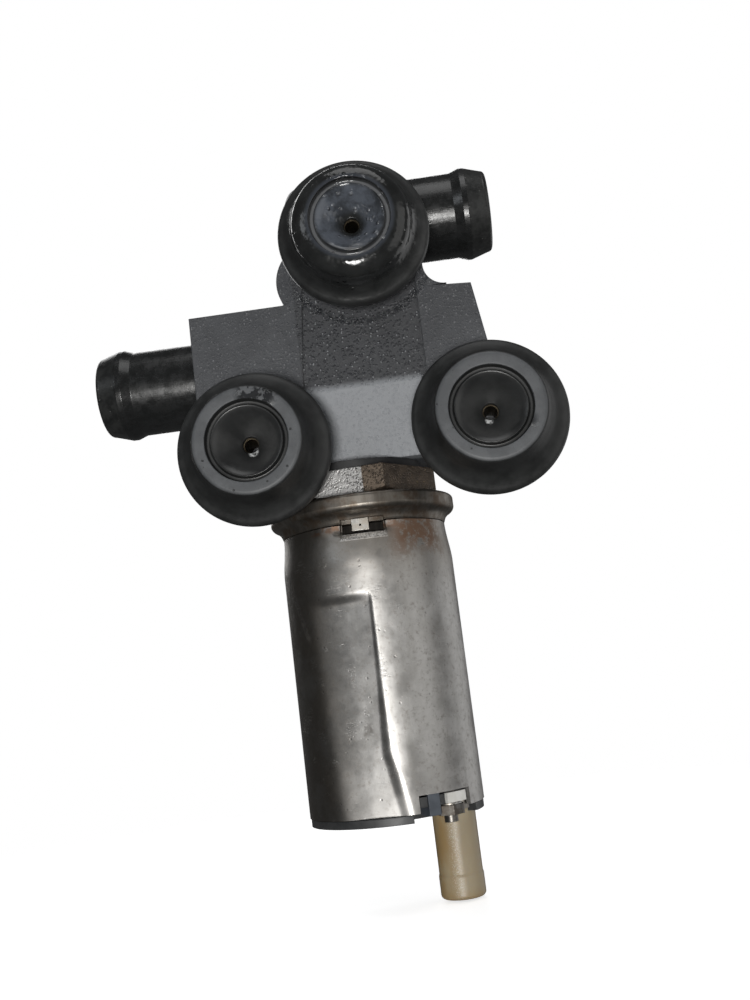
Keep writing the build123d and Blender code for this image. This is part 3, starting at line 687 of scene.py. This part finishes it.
def make_can():
    """The can as a closed shell, with the notch and the window left out."""
    angles = steps(-180, 180, 0.75, NOTCH_ANGLES + WINDOW_ANGLES)[:-1]
    heights = steps(0, CAN_TOP, 0.5, (0.0, NOTCH_HEIGHT, CAN_TOP - WINDOW_HEIGHT, CAN_TOP))
    columns, rows = len(angles), len(heights)
    vertices = []
    for inset in (0.0, CAN_WALL):
        for height in heights:
            for angle in angles:
                radius = can_surface(angle, height) - inset
                turn = math.radians(angle)
                vertices.append((radius * math.sin(turn), -radius * math.cos(turn), height + RIM))

    def corner(side, row, column):
        return side * rows * columns + row * columns + column % columns

    def solid(row, column):
        if row < 0 or row >= rows - 1:
            return False
        column %= columns
        right = angles[column + 1] if column + 1 < columns else 180.0
        middle = (angles[column] + right) / 2
        return not cut_away(middle, (heights[row] + heights[row + 1]) / 2)

    faces = []
    for row in range(rows - 1):
        for column in range(columns):
            if not solid(row, column):
                continue
            ring = [(row, column), (row, column + 1), (row + 1, column + 1), (row + 1, column)]
            faces.append([corner(0, *place) for place in ring])
            faces.append([corner(1, *place) for place in reversed(ring)])
            beyond = [(row - 1, column), (row, column + 1), (row + 1, column), (row, column - 1)]
            for index, neighbour in enumerate(beyond):
                if not solid(*neighbour):
                    start, end = ring[index], ring[(index + 1) % 4]
                    faces.append([corner(0, *end), corner(0, *start), corner(1, *start), corner(1, *end)])
    return new_piece("can_shell", vertices, faces, 28)


def rounded_profile(points):
    """A closed outline whose corners, given as (radius, along, rounding), are rounded off."""
    result = []
    for index, (radius, along, rounding) in enumerate(points):
        here = Vector((radius, along))
        if rounding == 0:
            result.append(here)
            continue
        before = Vector(points[index - 1][:2]) - here
        after = Vector(points[(index + 1) % len(points)][:2]) - here
        start = here + before.normalized() * min(rounding, before.length * 0.48)
        end = here + after.normalized() * min(rounding, after.length * 0.48)
        for step in range(7):
            share = step / 6
            result.append(start.lerp(here, share).lerp(here.lerp(end, share), share))
    return result


def lathe(name, points, centre, back, turns=192):
    """A ring-shaped solid turned about a line that runs front to back, with its front at -Y."""
    profile = rounded_profile(points)
    vertices = []
    for turn in range(turns):
        angle = 2 * math.pi * turn / turns
        for radius, along in profile:
            x = centre[0] + radius * math.cos(angle)
            z = centre[1] + radius * math.sin(angle)
            vertices.append((x, back - along, z))
    count = len(profile)
    faces = []
    for turn in range(turns):
        other = (turn + 1) % turns
        for index in range(count):
            following = (index + 1) % count
            here, there = turn * count, other * count
            faces.append([here + index, here + following, there + following, there + index])
    return new_piece(name, vertices, faces, 35)


# Outlines of the buffers, as (radius, distance from the back face, corner rounding)
BUFFER_REAR = [
    (5.05, 0.0, 0), (15.6, 0.0, 0.4), (17.2, 1.2, 1.0), (17.5, 2.6, 0.9),
    (17.2, 3.9, 0.9), (15.7, 4.8, 1.3),
]
DISH = [
    (8.95, 11.0, 0.30), (8.1, 10.95, 0.3), (7.9, 12.35, 0.45), (6.8, 11.7, 0.8), (5.0, 9.9, 1.6),
    (3.0, 7.9, 1.2), (1.75, 6.9, 0.4), (1.75, 6.25, 0), (5.05, 6.25, 0),
]
WORN_FRONT = [
    (13.4, 7.0, 1.8), (12.5, 10.8, 1.0), (12.2, 12.3, 0.45), (11.4, 12.7, 0.3), (9.15, 12.7, 0.25),
]
ROUND_FRONT = [(13.8, 7.2, 1.8), (13.2, 10.5, 2.2), (11.3, 12.15, 2.0), (9.15, 12.65, 0.45)]

stand_for(make_can(), "solenoid_can", "valve")
for node, centre in BUFFER_CENTRES.items():
    front = ROUND_FRONT if node == "top_buffer" else WORN_FRONT
    rubber = lathe(f"{node}_rubber", BUFFER_REAR + front + DISH, centre, BUFFER_BACK)
    stand_for(rubber, node, node)


# ---------------------------------------------------------------- camera, light and floor
YAW, PITCH, ROLL = math.radians(-3.19), math.radians(-9.51), math.radians(-6.99)
CAMERA_PLACE = (0.0180, -0.2603, -0.0273)
LENS = 39.69
SENSOR = 36.0

turned = (
    Matrix.Rotation(ROLL, 3, "Y") @ Matrix.Rotation(PITCH, 3, "X") @ Matrix.Rotation(YAW, 3, "Z")
).transposed()
right, forward, up = (turned @ Vector(axis) for axis in ((1, 0, 0), (0, 1, 0), (0, 0, 1)))
camera_data = bpy.data.cameras.new("camera")
camera_data.lens = LENS
camera_data.sensor_width = SENSOR
camera_data.clip_start = 0.01
camera = bpy.data.objects.new("camera", camera_data)
bpy.context.scene.collection.objects.link(camera)
camera.matrix_world = Matrix.Translation(CAMERA_PLACE) @ Matrix((right, up, -forward)).transposed().to_4x4()
bpy.context.scene.camera = camera


LIT_POINT = (0.005, 0.0, 0.02)


def area_light(name, direction, distance, size, power, colour=(1.0, 1.0, 1.0)):
    """A soft light that faces the object from a direction."""
    data = bpy.data.lights.new(name, "AREA")
    data.shape = "RECTANGLE"
    data.size, data.size_y = size
    data.energy = power
    data.color = colour
    light = bpy.data.objects.new(name, data)
    outward = Vector(direction).normalized()
    light.location = Vector(LIT_POINT) + outward * distance
    light.rotation_mode = "QUATERNION"
    light.rotation_quaternion = outward.to_track_quat("Z", "Y")
    light.visible_camera = False
    bpy.context.scene.collection.objects.link(light)


area_light("key_light", (-0.03, -0.965, -0.26), 1.1, (0.24, 0.24), 8.5, (1.0, 0.99, 0.97))
area_light("left_window", (-0.60, -0.72, 0.40), 1.0, (0.30, 0.30), 0.7, (0.90, 0.95, 1.0))
area_light("right_fill", (0.90, -0.55, 0.10), 1.0, (0.70, 0.90), 1.6, (1.0, 0.99, 0.97))
area_light("right_back_fill", (0.85, 0.55, 0.05), 1.0, (0.70, 1.10), 1.7)
area_light("top_fill", (0.10, -0.35, 0.95), 1.0, (0.60, 0.60), 2.0)
area_light("back_fill", (-0.30, 0.90, 0.45), 1.1, (0.90, 0.70), 5.0)

world = bpy.data.worlds.new("studio")
world.use_nodes = True
bpy.context.scene.world = world
world_nodes, world_links = world.node_tree.nodes, world.node_tree.links
ambient = world_nodes["Background"]
ambient.inputs["Color"].default_value = (0.97, 0.985, 1.0, 1.0)
ambient.inputs["Strength"].default_value = 0.07
backdrop = world_nodes.new("ShaderNodeBackground")
backdrop.inputs["Color"].default_value = (1.0, 1.0, 1.0, 1.0)
backdrop.inputs["Strength"].default_value = 1.0
path = world_nodes.new("ShaderNodeLightPath")
choose = world_nodes.new("ShaderNodeMixShader")
world_links.new(path.outputs["Is Camera Ray"], choose.inputs[0])
world_links.new(ambient.outputs[0], choose.inputs[1])
world_links.new(backdrop.outputs[0], choose.inputs[2])
world_links.new(choose.outputs[0], world_nodes["World Output"].inputs["Surface"])

FLOOR_GAP = 0.0005
floor_height = cad_box[0][2] - FLOOR_GAP
floor_mesh = bpy.data.meshes.new("floor")
reach = 3.0
floor_corners = [(-reach, -reach), (reach, -reach), (reach, reach), (-reach, reach)]
floor_mesh.from_pydata([(x, y, floor_height) for x, y in floor_corners], [], [(0, 1, 2, 3)])
floor = bpy.data.objects.new("floor", floor_mesh)
bpy.context.scene.collection.objects.link(floor)
floor_look = Look("floor_look")
pale = floor_look.colour(floor_look.noise(400.0, 2.0), (0.90, 0.90, 0.90), (0.93, 0.93, 0.93))
from_middle = floor_look.maths("SQRT", floor_look.total(
    floor_look.product(floor_look.x, floor_look.x), floor_look.product(floor_look.y, floor_look.y)
))
floor_mesh.materials.append(floor_look.finish(
    base_color=pale, roughness=0.9, alpha=floor_look.ramp(from_middle, 260.0, 90.0),
    emission_color=(1.0, 1.0, 1.0), emission_strength=0.72,
))
floor.visible_shadow = False
floor.visible_glossy = False
floor.visible_diffuse = False

bpy.context.scene.view_settings.view_transform = "Standard"
